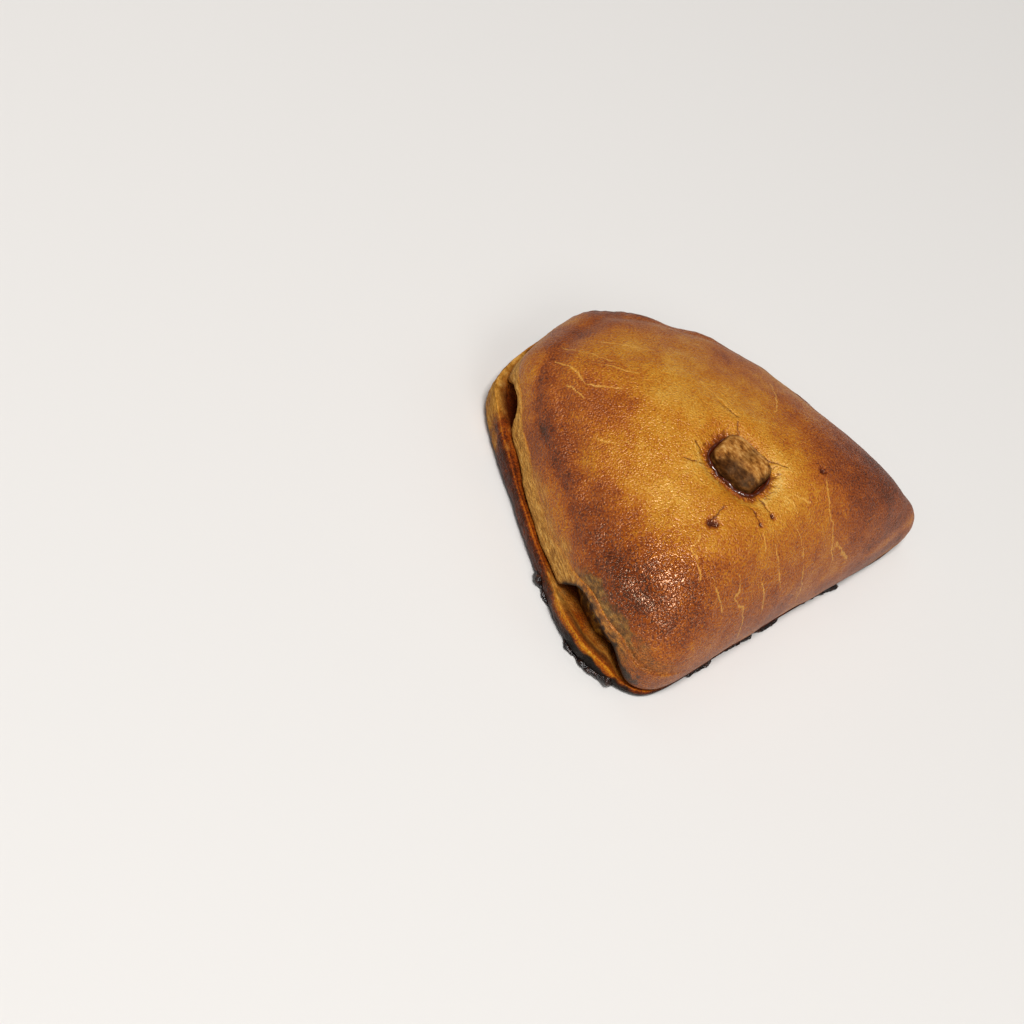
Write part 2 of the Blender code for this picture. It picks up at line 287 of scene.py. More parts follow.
def top_side(angle):
    """Rows below the lip, each by its distance from the middle and its height, in mm.

    At the seam they are the pale cut edge and its underside, at the fold the whole front. The seam's share
    blends the two.
    """
    full = outline(angle)
    lip, inset, ridge, seam = (station(angle, column) for column in (LIP, LIP_INSET, RIDGE, SEAM))
    slit, pocket = parted(angle, SLIT), parted(angle, POCKET)
    foot = np.minimum(ridge + 0.1 + slit + pocket, lip - 2.6)
    drop = lip - foot
    deep = (slit + 1.3 * pocket) / 8
    seam_rows = [
        (inset, lip),
        (inset - 0.3, lip - 0.22 * drop),
        (inset - 0.5, lip - 0.50 * drop),
        (inset - 0.65 + 0.5 * deep, lip - 0.80 * drop),
        (inset + 0.1 + 1.3 * deep, foot),
        (inset + 2.8 + 0.5 * deep, foot + 0.3 - 0.5 * deep),
        (inset + 8.0, foot + 0.2 - 2.5 * deep),
        (inset + 13.0, foot - 0.5 - 5.0 * deep),
    ]
    fold_rows = [
        (0, 1),
        (0.05, 0.81),
        (0.3, 0.62),
        (0.9, 0.42),
        (1.8, 0.25),
        (3.2, 0.09),
        (5.0, 0.0),
        (12.0, 0.0),
    ]
    off_tray = 0.12
    rows = []
    for (in_seam, high), (in_fold, fold_share) in zip(seam_rows, fold_rows):
        fold_high = fold_share * lip + off_tray
        inward = in_fold + seam * (in_seam - in_fold)
        rows.append(np.stack([full - inward, fold_high + seam * (high - fold_high)], -1))
    return run_through(np.stack(rows), SIDE_STEPS)


# rows stand closer together round the hole for the cube and near the lip
share_rows = np.concatenate(
    [
        np.linspace(0.01, 0.08, 6, endpoint=False),
        np.linspace(0.08, 0.29, 44, endpoint=False),
        np.sin(0.5 * np.pi * np.linspace(0.1873, 1, 76)),
    ]
)[:, None]
across, all_angles = np.broadcast_arrays(share_rows, angles[None])
upper = dome(across, all_angles)
side_rows = top_side(angles)[1:]
side = placed(angles[None], side_rows[..., 0], 0, side_rows[..., 1])
# two rings close the layer over the filling, each by its share of the last row's distance and its height
LINING = np.array([(0.75, 26.0), (0.4, 32.0)])
lining = placed(angles[None], side_rows[-1:, :, 0] * LINING[:, :1], 0, LINING[:, 1:])
skin = np.concatenate([upper, side])
down_side = (1 + np.arange(len(side)) / SIDE_STEPS)[:, None]
depth_row = np.concatenate([np.zeros(upper.shape[:2]), np.broadcast_to(down_side, side.shape[:2])])
skin_angle = np.broadcast_to(angles[None], skin.shape[:2])
seam_share = station(skin_angle, SEAM)
slit_gap = parted(skin_angle, SLIT)
rim_inset = np.concatenate([outline(all_angles) * (1 - across), np.zeros(side.shape[:2])])
on_top = depth_row == 0

# the hole for the cube: a rounded rectangle, ragged, whose rim rolls in
HOLE_AT = (-7.0, -19.5)
HOLE_HALF = (8.4, 9.8)
HOLE_REACH = 9.0
HOLE_SQUARENESS = 3.2
HOLE_TURN = np.radians(7.5)


def turned_back(points, angle):
    """Points in plan turned clockwise: x and y are each a sum of both, by the angle's cosine and sine."""
    x, y = points[..., 0], points[..., 1]
    return np.stack([x * np.cos(angle) + y * np.sin(angle), y * np.cos(angle) - x * np.sin(angle)], -1)


in_hole = turned_back(skin[..., :2] - HOLE_AT, HOLE_TURN)
round_hole = np.arctan2(in_hole[..., 1], in_hole[..., 0])
ragged = 0.35 * soft_noise(skin, 3.1, 4) + 0.08 * np.sin(17 * round_hole)
squared = (np.abs(in_hole / HOLE_HALF) ** HOLE_SQUARENESS).sum(-1)
hole_gap = (squared ** (1 / HOLE_SQUARENESS) - 1) * HOLE_REACH + ragged

# cracks, each a line of points in plan: pale ones where the crust stretched, dark ones where juice ran
PALE_CRACKS = (
    ((-36.2, -30.3), (-41.1, -32.4), (-42.7, -38.9), (-44.5, -40.9)),
    ((-39.7, -42.4), (-39.9, -46.5), (-38.6, -50.7)),
    ((-29.7, -45.7), (-30.5, -48.8), (-32.5, -50.0), (-29.1, -53.3), (-28.2, -56.5)),
    ((-15.7, -40.1), (-16.9, -44.4)),
    ((-20.1, -50.6), (-19.6, -55.4)),
    ((-12.3, -44.3), (-12.3, -50.5), (-11.3, -53.7)),
    ((-2.0, -43.2), (-0.2, -47.0), (-0.3, -51.5), (-0.3, -54.9), (1.1, -57.4)),
    ((0, -34.7), (0.8, -40.7)),
    ((3.8, -35.9), (7.9, -40.3)),
    ((18.5, -36.8), (14.9, -44.3), (15.2, -48.7), (14.3, -53.4), (15.1, -56.1)),
    ((16.3, -52.6), (23.5, -56.6)),
    ((-15.7, 45.3), (-15.0, 40.4), (-13.7, 37.2), (-13.3, 33.9), (-11.4, 30.9)),
    ((-22.3, 42.5), (-22.1, 37.8), (-22.8, 34.0), (-24.7, 29.4), (-21.8, 25.5), (-18.2, 21.0)),
    ((-16.3, 31.8), (-13.5, 29.1), (-12.4, 26.7), (-9.9, 22.5)),
    ((-27.0, 33.2), (-28.4, 26.1)),
    ((-7.6, 41.5), (-2.4, 35.2), (1.1, 30.3), (3.7, 27.4)),
    ((-35.4, 13.3), (-33.6, 8.4), (-31.0, 5.9), (-29.4, 1.5)),
    ((5.9, 10.3), (5.9, 2.1), (4.9, -5.4)),
    ((34.9, 0), (25.7, -8.9), (22, -9.9)),
)
DARK_CRACKS = (
    ((4.2, -7.4), (1.3, -11.4)),
    ((5.8, -6.7), (4.4, 1.0)),
    ((-14.4, -5.9), (-14.1, -9.6)),
    ((2.7, -20.5), (5.2, -24.4), (7.5, -27.8)),
    ((-8.4, -31.0), (-9.4, -34.2), (-9.0, -37.0)),
    ((-15.1, -31.3), (-14.6, -34.5), (-14.9, -37)),
    ((-31.7, -29.5), (-28.1, -28.8), (-23.4, -27.1)),
    ((-19, -11.5), (-22.5, -8.5)),
)
pale_side, pale_near = nearest_line(skin, PALE_CRACKS)
dark_side, dark_near = nearest_line(skin, DARK_CRACKS)
pale_near = pale_near * np.maximum(on_top, 1 - seam_share)
# small pits where the juice burst through, by x, y and width; one of them has a raised rim
RIMMED = (19.4, -34.2)
PITS = ((-31.0, -29.5, 1.5), (-29.6, -30.9, 0.9), (-8.9, -37.6, 0.9), (*RIMMED, 1.0), (-14.9, -37.8, 0.7))
pit = sum(spot(skin, x, y, width) for x, y, width in PITS) * on_top
pit_rim = bell(np.hypot(skin[..., 0] - RIMMED[0], skin[..., 1] - RIMMED[1]) - 1.9, 0.6) * on_top
# a shallow, browned crease just inside the glazed rim, where the edge was pressed shut
skin_degrees = np.degrees(skin_angle)
from_middle = skin[..., :2] - MIDDLE
true_degrees = np.degrees(np.arctan2(from_middle[..., 1], from_middle[..., 0])) % 360
true_inset = outline(np.radians(true_degrees)) - np.hypot(from_middle[..., 0], from_middle[..., 1])
CREASE = (
    (104, 10.4),
    (110, 9.6),
    (114, 8.8),
    (121, 6.9),
    (125, 6.3),
    (130, 5.7),
    (136, 5.2),
    (176, 5.1),
    (190, 6.0),
)
beyond_crease = true_inset - parted(np.radians(true_degrees), CREASE)
pressed = seam_share * on_top * within(true_degrees, 103, 186, 5, 45)
crease = bell(beyond_crease, 0.6) * pressed * eased(0.55 + 0.8 * soft_noise(skin, 2.4, 51))
# the knee is the rounded corner at the fold's left end, where the egg ran together and wrinkled
KNEE_AT, KNEE_WIDTH = (-52, -33, 31), 20
knee = bell(np.linalg.norm(skin - KNEE_AT, axis=-1), KNEE_WIDTH)

# the far seam's rim puckered and browned in small lumps
far_side = within(skin_degrees, -34, 84, 14, 10) + eased((skin_degrees - 326) / 14)
lumpy_rim = soft_noises(skin, (0.34, 2.0, 53), (0.16, 0.9, 54))
folds = 1 - np.abs(soft_noise(skin * (1, 1, 1.4), 5.0, 23)) * 2
puckers = np.sin(31 * round_hole + 4 * soft_noise(skin, 3, 24)) * bell(hole_gap - 1.2, 2.0)
# the low relief: swells of three sizes, wrinkles on the knee, the crease, the rim, the pits and the puckers
raised = soft_noises(skin, (0.42, 19, 31), (0.26, 8, 32), (0.07, 2.8, 33))
raised = raised + knee * (0.16 * folds + 0.13 * soft_noise(skin, 2.6, 34)) - 0.30 * crease
raised = raised + on_top * far_side * bell(rim_inset - 1.5, 2.2) * lumpy_rim
raised = raised - 0.9 * pit + 0.3 * pit_rim
raised = raised + 0.13 * puckers * on_top - 0.25 * dark_near * bell(dark_side, 0.6)
# the cut edge is rough along its layers instead
cut_face = seam_share * eased((depth_row - 0.9) / 0.5) * (depth_row > 0)
layered = 0.20 * soft_noise(skin * (1, 1, 2.0), 2.0, 35) + 0.28 * soft_noise(skin * (1, 1, 0.5), 5, 36)
raised = raised * (1 - 0.75 * cut_face)
raised = raised + cut_face * layered
raised = np.where(on_top & (hole_gap < 0.8), raised * eased(hole_gap + 0.2), raised)
skin = skin + facings(skin) * raised[..., None]
dip = 1.6 * bell(np.maximum(hole_gap, 0), 3.2) + 0.9 * eased(-hole_gap / 0.9)
dip = dip - 0.5 * bell(hole_gap - 0.3, 0.5)
skin[..., 2] -= on_top * dip * (hole_gap < 12)
skin[..., 2] = np.maximum(skin[..., 2], 0.05)

# how far each place is baked, from pale dough at 0 to black at 1: spots by x, y, width and change. The spot at
# (5, -27) is painted highlight, the glaze's bright sheen right of the cube, laid on as paler baking; the one at
# (0, -30) is partly paler baking and partly that painted highlight
BROWNING_AND_HIGHLIGHTS = (
    (-36, -14, 13, -0.24),
    (-34, 12, 9, -0.03),
    (-38, -33, 8, -0.12),
    (12, 12, 12, -0.06),
    (-12, 28, 8, 0.08),
    (-46, -54, 16, 0.04),
    (-8, -54, 14, 0.13),
    (-30, -48, 10, 0.08),
    (29, -50, 12, 0.10),
    (-18, -10, 9, -0.10),
    (0, -30, 13, -0.22),
    (-10, -40, 12, -0.10),
    (-8, 9, 13, -0.17),
    (12, -8, 12, -0.12),
    (-23, 18, 6, 0.15),
    (-30, 24, 8, 0.10),
    (42, -36, 15, 0.42),
    (31, -10, 13, 0.08),
    (18, -34, 6, 0.08),
    (56, -45, 14, 0.22),
    (62, -30, 9, 0.08),
    (30, 14, 12, 0.16),
    (14, 38, 14, 0.06),
    (-65, -30, 9, 0.42),
    (-60, -21, 10, 0.14),
    (-50, -42, 11, 0.19),
    (-44, -12, 14, 0.05),
    (-48, -9, 7, 0.24),
    (-58, -11, 7, 0.16),
    (-42, 27, 7, 0.18),
    (-45, 16, 6, 0.08),
    (5, -27, 6, -0.12),
    (-6.6, 50.7, 5, 0.22),
    (-16.2, 49, 3.5, 0.20),
    (14, 44, 8, 0.08),
    (-52, -34, 14, 0.08),
    (-58, -18, 4, 0.22),
    (-1, 36, 9, -0.12),
    (3, 46, 6, 0.16),
    (50, -53, 13, 0.14),
    (30, -56, 30, 0.03),
    (-46, 2, 7, 0.14),
    (-30, 42, 12, 0.08),
    (-6, 44, 8, 0.10),
)
bake_and_painted_light = 0.43 + soft_noises(skin, (0.04, 21, 41), (0.05, 9, 42), (0.06, 4.5, 43))
for x, y, width, change in BROWNING_AND_HIGHLIGHTS:
    bake_and_painted_light = bake_and_painted_light + change * spot(skin, x, y, width) * np.maximum(on_top, 1 - seam_share)
bake_and_painted_light += 0.14 * bell(rim_inset - 5.5, 3.0) * seam_share * on_top * (0.8 + 0.5 * soft_noise(skin, 5, 44))
bake_and_painted_light = np.minimum(bake_and_painted_light, 0.62 + 0.5 * (bake_and_painted_light - 0.62))
round_crease = 0.13 * crease + 0.16 * pressed * bell(beyond_crease - 0.9, 1.7)
bake_and_painted_light += round_crease + 0.40 * pit + 0.22 * bell(hole_gap - 0.6, 1.3) * on_top
bake_and_painted_light -= 0.15 * bell(hole_gap - 2.6, 1.3) * on_top * eased(0.6 - np.cos(round_hole - 0.6))
bake_and_painted_light += 0.05 * (1 - seam_share) + 0.05 * bell(skin[..., 2] - 12, 8) * (1 - seam_share)
# a paler streak runs along the fold near its right end
streak = bell(np.hypot(0.5 * (skin[..., 1] + 57.8), skin[..., 2] - 16.6), 2.2)
streak = streak * within(skin[..., 0], 32, 67, 8, 4)
bake_and_painted_light -= 0.22 * streak
bake_and_painted_light += on_top * far_side * bell(rim_inset - 1.5, 3.0) * (0.28 + 0.20 * soft_noise(skin, 1.9, 52))
# where the egg missed: the cut edge, the underside and a soft, uneven line along the rim; less above the slit
ragged_rim = eased((skin_degrees - 130) / 16) - 0.9 + soft_noises(skin, (0.4, 6, 45), (0.3, 1.8, 46))
above_slit = within(skin_degrees, 181, 236, 6, 10)
on_rim = 0.9 * on_top * seam_share * eased((ragged_rim - rim_inset) / 1.5 + 0.5)
bare = np.maximum(cut_face, on_rim) * (1 - 0.55 * above_slit)
bare = bare * (1 - 0.8 * eased((skin_degrees - 205) / 6))
bare = bare * (1 - 0.35 * cut_face * eased((2.4 - depth_row) / 1.0))
bake_and_painted_light += 0.2 * above_slit * cut_face
band = above_slit * on_top * seam_share * eased((1.5 + 1.1 * soft_noise(skin, 2.4, 55) - rim_inset) / 1.1)
bare = np.maximum(bare, 0.45 * band)
bake_and_painted_light += 0.30 * band
inner = seam_share * eased((depth_row - 4.6) / 1.4) * (depth_row > 0)
# the burnt places: in and above the slit, in the pits and along the fold's foot
char = np.clip(slit_gap / 4, 0, 1) * bell(depth_row - 4.6, 0.7) * eased(0.75 + 0.9 * soft_noise(skin, 2.6, 47))
blackened = bell(depth_row - 2.9, 1.5) * eased(0.25 + 2.0 * soft_noise(skin, 1.2, 48))
char += 0.75 * above_slit * blackened * (skin_degrees < 214)
char += 0.95 * np.clip(slit_gap / 2, 0, 1) * bell(depth_row - 3.9, 0.7)
char += 0.55 * band * eased(0.15 + 2.2 * soft_noise(skin, 1.0, 56))
at_foot = eased((3.6 - skin[..., 2]) / 2.6) * (1 - seam_share) * eased(0.62 + soft_noise(skin, 5, 49))
char += 0.55 * eased(1.2 * pit - 0.2) + 0.9 * at_foot * (depth_row > 0)
juicy_rim = bell(hole_gap - 0.8, 0.9) * eased(0.5 + soft_noise(skin, 2.2, 50))
juice = on_top * (eased((0.6 - hole_gap) / 0.8) + 0.45 * juicy_rim)
# the egg lies thickest on the knee and round the cube, and thin on the fold and at the far side
gloss = 0.05 + 0.72 * spot(skin, -20, -8, 34) * on_top + 0.9 * knee
skin = np.concatenate([skin, lining])
masks = {
    "bake_and_painted_light": np.clip(bake_and_painted_light, 0, 1),
    "bare": np.clip(bare, 0, 1),
    "char": np.clip(char, 0, 1),
    "juice": np.clip(juice + 0.5 * inner + 0.9 * eased(1.6 * pit - 0.2), 0, 1),
    "knee": knee,
    "pale_side": pale_side,
    "pale_near": pale_near,
    "dark_side": dark_side,
    "dark_near": dark_near * on_top,
    "gloss": np.clip(gloss, 0, 1),
    "hole_gap": np.where(on_top, hole_gap, 99),
    "round_x": np.cos(round_hole),
    "round_y": np.sin(round_hole),
}
masks = {key: np.concatenate([mask, np.repeat(mask[-1:], len(lining), 0)]) for key, mask in masks.items()}
glazed_top = closed_sheet("glazed_top", skin, masks, (*(MIDDLE + CREST), HEIGHT - 5.0), (*MIDDLE, 33.0))


def node(tree, kind, **settings):
    """A shader node with its settings; one named in_NAME is a value or a link for that input."""
    made = tree.nodes.new(kind)
    for key, value in settings.items():
        if not key.startswith("in_"):
            setattr(made, key, value)
    for key, value in settings.items():
        if key.startswith("in_"):
            name = key[3:]
            socket = made.inputs[int(name)] if name.isdigit() else made.inputs[name.replace("_", " ")]
            if isinstance(value, bpy.types.NodeSocket):
                tree.links.new(value, socket)
            else:
                socket.default_value = value
    return made


def maths(tree, operation, first, second=0.0, clamp=False):
    """The result socket of one Math node."""
    made = node(tree, "ShaderNodeMath", operation=operation, use_clamp=clamp, in_0=first, in_1=second)
    return made.outputs[0]


def times(tree, first, second):
    """The socket of a product."""
    return maths(tree, "MULTIPLY", first, second)


def plus(tree, first, second, clamp=False):
    """The socket of a sum, held from 0 to 1 where it is clamped."""
    return maths(tree, "ADD", first, second, clamp)


def between(tree, value, start, end):
    """A socket that runs from 0 to 1, eased, while the value runs from start to end."""
    made = node(tree, "ShaderNodeMapRange", interpolation_type="SMOOTHSTEP", in_0=value, in_1=start, in_2=end)
    return made.outputs[0]


def noise(tree, place, scale, detail, roughness=0.5):
    """The value socket of a Noise Texture with this many waves to the metre and this much finer detail."""
    made = node(tree, "ShaderNodeTexNoise", in_Vector=place, in_Scale=scale, in_Detail=detail)
    made.inputs["Roughness"].default_value = roughness
    return made.outputs["Fac"]


def drawn_by(tree, place, factors):
    """The coordinates, each times its own factor: a pattern is drawn out along those below 1."""
    return node(tree, "ShaderNodeVectorMath", operation="MULTIPLY", in_0=place, in_1=factors).outputs[0]


def ramp(tree, value, stops):
    """The colour socket of a ramp through these stops of (position, colour)."""
    made = node(tree, "ShaderNodeValToRGB", in_0=value)
    elements = made.color_ramp.elements
    while len(elements) < len(stops):
        elements.new(0.5)
    for element, (position, colour) in zip(elements, stops):
        element.position = position
        element.color = (*colour, 1)
    return made.outputs[0]


def mask_named(tree, name):
    """The value socket of a mask that the mesh carries."""
    return node(tree, "ShaderNodeAttribute", attribute_name=name).outputs["Fac"]


def blend(tree, factor, first, second, mode="MIX"):
    """The colour socket of a mix of two colours."""
    made = node(tree, "ShaderNodeMix", data_type="RGBA", blend_type=mode, in_0=factor)
    for socket, value in ((made.inputs[6], first), (made.inputs[7], second)):
        if isinstance(value, bpy.types.NodeSocket):
            tree.links.new(value, socket)
        else:
            socket.default_value = (*value, 1)
    return made.outputs[2]


def new_material(name):
    """A new material, its node tree and its Principled shader."""
    made = bpy.data.materials.new(name)
    made.use_nodes = True
    return made, made.node_tree, made.node_tree.nodes["Principled BSDF"]


def new_group(name, inputs, outputs):
    """A shader node group with float inputs (name, value) and outputs (name, kind), and its two end nodes."""
    group = bpy.data.node_groups.new(name, "ShaderNodeTree")
    for label, value in inputs:
        group.interface.new_socket(label, in_out="INPUT", socket_type="NodeSocketFloat").default_value = value
    for label, kind in outputs:
        group.interface.new_socket(label, in_out="OUTPUT", socket_type=kind)
    return group, group.nodes.new("NodeGroupInput"), group.nodes.new("NodeGroupOutput")


# the glaze's leathery grain: fine pimples, and flats a millimetre wide with creases between, deeper at the
# knee.
# Its second output is painted shade, darkening the colour in the creases, more on the knee
leather_grain, ends_in, ends_out = new_group(
    "leather_grain",
    [("Depth", 1.0), ("Knee", 0.0)],
    [("Normal", "NodeSocketVector"), ("Painted Crease Shade", "NodeSocketFloat")],
)
place = node(leather_grain, "ShaderNodeTexCoord").outputs["Object"]
warp = node(leather_grain, "ShaderNodeTexNoise", in_Vector=place, in_Scale=300.0, in_Detail=3.0)
bend = node(
    leather_grain, "ShaderNodeVectorMath", operation="SCALE", in_0=warp.outputs["Color"], in_Scale=0.0022
)
bent = node(leather_grain, "ShaderNodeVectorMath", operation="ADD", in_0=place, in_1=bend.outputs[0])
wrinkles = noise(leather_grain, bent.outputs[0], 850.0, 1.0)
pimples = noise(leather_grain, place, 1800.0, 0.0)
off_crease = maths(leather_grain, "ABSOLUTE", maths(leather_grain, "SUBTRACT", wrinkles, 0.5))
flats = between(leather_grain, off_crease, 0.0, 0.11)
strength = plus(leather_grain, times(leather_grain, ends_in.outputs["Knee"], 0.15), 0.04)
height = times(leather_grain, plus(leather_grain, flats, wrinkles), strength)
finer = plus(leather_grain, times(leather_grain, ends_in.outputs["Knee"], -0.30), 0.42)
height = plus(leather_grain, height, times(leather_grain, pimples, finer))
bump = node(leather_grain, "ShaderNodeBump", in_Distance=0.001, in_Height=height)
leather_grain.links.new(ends_in.outputs["Depth"], bump.inputs["Strength"])
leather_grain.links.new(bump.outputs[0], ends_out.inputs["Normal"])
# painted shade: the colour darkens in the wrinkles' creases, more on the knee
painted_crease_shade = plus(leather_grain, times(leather_grain, ends_in.outputs["Knee"], 0.13), 0.08)
painted_crease_shade = times(leather_grain, between(leather_grain, off_crease, 0.10, 0.0), painted_crease_shade)
leather_grain.links.new(painted_crease_shade, ends_out.inputs["Painted Crease Shade"])

# the crust's uneven browning: soft blotches and a fine grain as a change to the bake, and rare dark specks
mottle, ends_in, ends_out = new_group(
    "mottle", [("Grain", 0.42)], [("Change", "NodeSocketFloat"), ("Specks", "NodeSocketFloat")]
)
place = node(mottle, "ShaderNodeTexCoord").outputs["Object"]
blotch = noise(mottle, place, 150.0, 5.0, 0.62)
grainy = noise(mottle, place, 1800.0, 0.0)
change = times(mottle, maths(mottle, "SUBTRACT", blotch, 0.5), 0.45)
grain = times(mottle, maths(mottle, "SUBTRACT", 0.5, grainy), ends_in.outputs["Grain"])
change = plus(mottle, change, grain)
dots = node(mottle, "ShaderNodeTexVoronoi", in_Vector=place, in_Scale=520.0, in_Randomness=1.0)
rare = noise(mottle, place, 180.0, 1.0)
specks = between(mottle, dots.outputs["Distance"], 0.22, 0.10)
specks = times(mottle, specks, between(mottle, rare, 0.54, 0.62))
mottle.links.new(change, ends_out.inputs["Change"])
mottle.links.new(specks, ends_out.inputs["Specks"])

# a hairline crack: full where the signed distance is small, with a wandering line and uneven width
hairline, ends_in, ends_out = new_group(
    "hairline", [("Side", 1.0), ("Near", 0.0), ("Width", 0.3)], [("Line", "NodeSocketFloat")]
)
place = node(hairline, "ShaderNodeTexCoord").outputs["Object"]
wander = noise(hairline, place, 330.0, 4.0, 0.6)
thick = noise(hairline, place, 260.0, 2.0)
sideways = times(hairline, maths(hairline, "SUBTRACT", wander, 0.5), 3.0)
off_line = maths(hairline, "ABSOLUTE", plus(hairline, ends_in.outputs["Side"], sideways))
width = times(hairline, ends_in.outputs["Width"], between(hairline, thick, 0.22, 0.60))
line = between(hairline, off_line, width, 0.0)
line = times(hairline, line, between(hairline, ends_in.outputs["Near"], 0.02, 0.40))
hairline.links.new(line, ends_out.inputs[0])

# the fine dark streaks where juice ran out of the hole between puckers: noise drawn out away from the hole
streaks, ends_in, ends_out = new_group(
    "streaks", [("Gap", 9.0), ("Round X", 0.0), ("Round Y", 0.0)], [("Line", "NodeSocketFloat")]
)
drawn = node(
    streaks,
    "ShaderNodeCombineXYZ",
    in_0=times(streaks, ends_in.outputs["Round X"], 11.0),
    in_1=times(streaks, ends_in.outputs["Round Y"], 11.0),
    in_2=times(streaks, ends_in.outputs["Gap"], 0.35),
)
ragged_line = noise(streaks, drawn.outputs[0], 1.7, 3.0, 0.6)
# the noise has to pass a limit that rises from .45 at the hole to .70 at 5.5 mm from it
limit = node(
    streaks, "ShaderNodeMapRange", in_0=ends_in.outputs["Gap"], in_1=0.0, in_2=5.5, in_3=0.45, in_4=0.70
)
line = between(streaks, maths(streaks, "SUBTRACT", ragged_line, limit.outputs[0]), 0.0, 0.05)
line = times(streaks, line, between(streaks, ends_in.outputs["Gap"], 6.0, 4.0))
streaks.links.new(line, ends_out.inputs[0])

# the crust's colours by how far it is baked, and the floury cut dough's from its pores to its driest flakes
BAKED = (
    (0.0, (0.70, 0.43, 0.120)),
    (0.20, (0.60, 0.290, 0.034)),
    (0.40, (0.47, 0.170, 0.008)),
    (0.58, (0.34, 0.082, 0.005)),
    (0.76, (0.19, 0.034, 0.004)),
    (0.90, (0.085, 0.015, 0.004)),
    (1.0, (0.045, 0.010, 0.003)),
)
DOUGH = (
    (0.30, (0.15, 0.052, 0.006)),
    (0.42, (0.35, 0.145, 0.018)),
    (0.55, (0.55, 0.26, 0.044)),
    (0.70, (0.70, 0.41, 0.11)),
)
# the cracks' width in mm, strength and colour, and the colours of streaks, of set juice and of burnt crust
CRACKS = {"pale": (0.52, 0.62, (0.75, 0.39, 0.07)), "dark": (0.6, 0.9, (0.12, 0.022, 0.003))}
STREAKED = (0.16, 0.030, 0.003)
JUICY = (0.12, 0.017, 0.003)
BURNT = (0.008, 0.006, 0.0055)


def crust(name, depth, dullness, shine):
    """The egg-glazed crust: its colour by how far it is baked, with painted shade and highlight in that,
    then dough, cracks, juice and char laid over in turn.
    """
    material, tree, shader = new_material(name)
    grain = node(tree, "ShaderNodeGroup", node_tree=leather_grain)
    grain.inputs["Depth"].default_value = depth
    tree.links.new(mask_named(tree, "knee"), grain.inputs["Knee"])
    tree.links.new(grain.outputs["Normal"], shader.inputs["Normal"])
    browning = node(tree, "ShaderNodeGroup", node_tree=mottle)
    browning.inputs["Grain"].default_value = 0.42
    value = plus(tree, mask_named(tree, "bake_and_painted_light"), browning.outputs["Change"])
    # painted shade in the grain's creases darkens the colour
    value = plus(tree, value, grain.outputs["Painted Crease Shade"])
    value = plus(tree, value, times(tree, browning.outputs["Specks"], 0.16), clamp=True)
    colour = ramp(tree, value, BAKED)
    place = node(tree, "ShaderNodeTexCoord").outputs["Object"]
    floury = noise(tree, drawn_by(tree, place, (0.4, 0.4, 1.5)), 800.0, 3.0, 0.7)
    colour = blend(tree, mask_named(tree, "bare"), colour, ramp(tree, floury, DOUGH))
    for kind, (width, strength, tint) in CRACKS.items():
        crack = node(tree, "ShaderNodeGroup", node_tree=hairline)
        crack.inputs["Width"].default_value = width
        tree.links.new(mask_named(tree, kind + "_side"), crack.inputs["Side"])
        tree.links.new(mask_named(tree, kind + "_near"), crack.inputs["Near"])
        colour = blend(tree, times(tree, crack.outputs[0], strength), colour, tint)
    radial = node(tree, "ShaderNodeGroup", node_tree=streaks)
    for label, key in (("Gap", "hole_gap"), ("Round X", "round_x"), ("Round Y", "round_y")):
        tree.links.new(mask_named(tree, key), radial.inputs[label])
    colour = blend(tree, times(tree, radial.outputs[0], 0.7), colour, STREAKED)
    colour = blend(tree, mask_named(tree, "juice"), colour, JUICY)
    colour = blend(tree, mask_named(tree, "char"), colour, BURNT)
    tree.links.new(colour, shader.inputs["Base Color"])
    rough = maths(tree, "SUBTRACT", dullness, times(tree, mask_named(tree, "gloss"), 0.30))
    rough = plus(tree, rough, times(tree, mask_named(tree, "bare"), 0.4))
    rough = maths(tree, "SUBTRACT", rough, times(tree, mask_named(tree, "juice"), 0.26))
    rough = plus(tree, rough, times(tree, browning.outputs["Change"], 0.20), clamp=True)
    tree.links.new(rough, shader.inputs["Roughness"])
    shader.inputs["Specular IOR Level"].default_value = shine
    shader.inputs["Specular Tint"].default_value = (1.0, 0.70, 0.48, 1)
    return material


glazed_top.data.materials.append(crust("glazed crust", 1.0, 0.50, 0.72))
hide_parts("pastry_case")
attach(glazed_top, "root")

# The bottom layer of pastry: the other half of the sheet, which lay on the tray. Its edge stands out below the
# top layer's as a thin browned ridge over a dark, glossy band, its dark partly painted shadow, and its base is
# flat and deep brown.
LOWER_STEPS = 4


def bottom_rows(angle):
    """Rows from inside the seam out over the ridge, down the band and in to the flat base.

    Each is a distance in from the plan's edge and a height, in mm, tucked in and lowered towards the fold.
    """
    full = outline(angle)
    inset, ridge, base, seam = (station(angle, column) for column in (LIP_INSET, RIDGE, BASE_INSET, SEAM))
    slit, pocket = np.clip(parted(angle, SLIT) / 5, 0, 1), parted(angle, POCKET) / 5
    groove = np.maximum(1.5, inset - 0.9)
    rows = [
        (inset + 13.0, ridge - 1.5 - 1.5 * slit - 1.5 * pocket),
        (inset + 8.5, ridge - 1.2 - 1.0 * slit - 3.0 * pocket),
        (groove + 2.4, ridge - 0.9 - 0.6 * slit - 2.8 * pocket),
        (groove + 0.3, ridge - 0.4 - 0.1 * slit - 1.0 * pocket),
        (0.95, ridge),
        (0.4, ridge - 0.35),
        (0.0, 0.76 * ridge),
        (0.15, 0.50 * ridge),
        (0.8, 0.22 * ridge),
        (base - 0.6, 0.25),
        (base + 1.5, 0.0),
        (base + 4.0, 0.0),
    ]
    tucked = (1 - seam) * 1.8
    lowered = 0.35 + 0.65 * seam
    rows = [np.stack([full - deep - tucked, high * lowered], -1) for deep, high in rows]
    return run_through(np.stack(rows), LOWER_STEPS)


